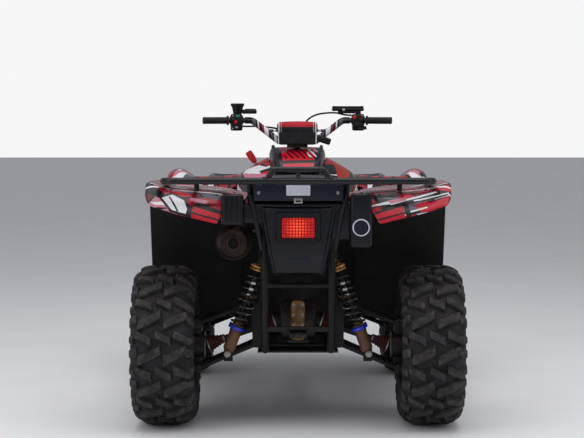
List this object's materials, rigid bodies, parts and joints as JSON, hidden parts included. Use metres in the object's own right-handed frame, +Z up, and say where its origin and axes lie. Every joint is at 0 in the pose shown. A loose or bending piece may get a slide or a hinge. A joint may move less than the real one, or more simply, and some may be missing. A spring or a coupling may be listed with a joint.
{
  "type": "utility quad bike",
  "caption": "Four-wheeled all-terrain quad bike with steerable front wheels, straddle seat, handlebar, luggage racks, footwells and a rear storage hatch.",
  "frame": {"origin": "on the ground under the middle of the overall box", "axes": "+Z up; the vehicle's front faces -Y; +X is the rider's left"},
  "size_m": [1.26, 2.065, 1.2399],
  "materials": {
    "frame_paint": "satin black paint",
    "skid_metal": "scuffed aluminium",
    "engine_alloy": "cast, dusty",
    "exhaust_steel": "heat tinted",
    "seat_cover": "satin vinyl",
    "black_plastic": "textured",
    "body_red": "gloss",
    "rack_paint": "satin black paint",
    "lamp_lens": "clear lens",
    "tail_lens": "lit red lens",
    "arm_paint": "satin black paint, dusty",
    "cast_alloy": "cast, dusty",
    "boot_rubber": "dusty rubber",
    "damper_steel": "machined",
    "spring_paint": "gloss paint",
    "lever_red": "gloss",
    "grip_rubber": "moulded",
    "cable_sheath": "moulded sheath",
    "pad_fabric": "sewn cover",
    "tyre": "dusty tread",
    "rim_steel": "painted"
  },
  "bodies": {
    "root": {"frame": "frame_paint", "skid_plate": "skid_metal", "engine": "engine_alloy", "exhaust": "exhaust_steel", "seat": "seat_cover", "console": "black_plastic", "side_panels": "body_red", "front_body": "body_red", "rear_fenders": "body_red", "footwells": "black_plastic", "rear_rack": "rack_paint", "front_rack": "rack_paint", "front_bumper": "rack_paint", "front_grille": "black_plastic", "headlights": "lamp_lens", "storage_box": "black_plastic", "tail_cover": "black_plastic", "tail_light": "tail_lens", "suspension_arms": "arm_paint", "rear_hub_carriers": "cast_alloy", "drive_housings": "cast_alloy", "half_shafts": "boot_rubber", "dampers": "damper_steel", "springs": "spring_paint", "gear_lever": "lever_red", "tow_hitch": "frame_paint"},
    "steering": {"steering_column": "frame_paint", "handlebar": "rack_paint", "grips": "grip_rubber", "controls": "black_plastic", "cables": "cable_sheath", "bar_pad": "pad_fabric"},
    "hatch": {"storage_hatch": "black_plastic"},
    "knuckle_left": {"knuckle_left": "cast_alloy"},
    "tie_rod_left": {"tie_rod_left": "damper_steel"},
    "wheel_front_left": {"tyre_front_left": "tyre", "rim_front_left": "rim_steel"},
    "wheel_rear_left": {"tyre_rear_left": "tyre", "rim_rear_left": "rim_steel"},
    "knuckle_right": {"knuckle_right": "cast_alloy"},
    "tie_rod_right": {"tie_rod_right": "damper_steel"},
    "wheel_front_right": {"tyre_front_right": "tyre", "rim_front_right": "rim_steel"},
    "wheel_rear_right": {"tyre_rear_right": "tyre", "rim_rear_right": "rim_steel"}
  },
  "joints": [
    {"name": "steering_turn", "type": "hinge", "parent": "root", "child": "steering", "pos_m": [0, -0.528, 0.47], "axis": [0, 0.4908, 0.8713], "range_deg": [-44, 44]},
    {"name": "hatch_hinge", "type": "hinge", "parent": "root", "child": "hatch", "pos_m": [0, 0.9543, 0.945], "axis": [1, 0, 0], "range_deg": [0, 75]},
    {"name": "knuckle_left_turn", "type": "hinge", "parent": "root", "child": "knuckle_left", "pos_m": [0.415, -0.6025, 0.3085], "axis": [0, 0, 1], "range_deg": [-28, 28]},
    {"name": "tie_rod_left_turn", "type": "hinge", "parent": "steering", "child": "tie_rod_left", "pos_m": [0.018, -0.49165, 0.4082], "axis": [0, 0.4908, 0.8713], "range_deg": [-48, 48]},
    {"name": "wheel_front_left_spin", "type": "hinge", "parent": "knuckle_left", "child": "wheel_front_left", "pos_m": [0.49, -0.6025, 0.3085], "axis": [1, 0, 0], "continuous": true},
    {"name": "wheel_rear_left_spin", "type": "hinge", "parent": "root", "child": "wheel_rear_left", "pos_m": [0.509, 0.6475, 0.3085], "axis": [1, 0, 0], "continuous": true},
    {"name": "knuckle_right_turn", "type": "hinge", "parent": "root", "child": "knuckle_right", "pos_m": [-0.415, -0.6025, 0.3085], "axis": [0, 0, 1], "range_deg": [-28, 28]},
    {"name": "tie_rod_right_turn", "type": "hinge", "parent": "steering", "child": "tie_rod_right", "pos_m": [-0.018, -0.49165, 0.4082], "axis": [0, 0.4908, 0.8713], "range_deg": [-48, 48]},
    {"name": "wheel_front_right_spin", "type": "hinge", "parent": "knuckle_right", "child": "wheel_front_right", "pos_m": [-0.49, -0.6025, 0.3085], "axis": [1, 0, 0], "continuous": true},
    {"name": "wheel_rear_right_spin", "type": "hinge", "parent": "root", "child": "wheel_rear_right", "pos_m": [-0.509, 0.6475, 0.3085], "axis": [1, 0, 0], "continuous": true}
  ],
  "couplings": [
    {"joint": "knuckle_left_turn", "follows": "steering_turn", "ratio": 0.61},
    {"joint": "tie_rod_left_turn", "follows": "steering_turn", "ratio": -1.085},
    {"joint": "knuckle_right_turn", "follows": "steering_turn", "ratio": 0.61},
    {"joint": "tie_rod_right_turn", "follows": "steering_turn", "ratio": -1.085}
  ]
}
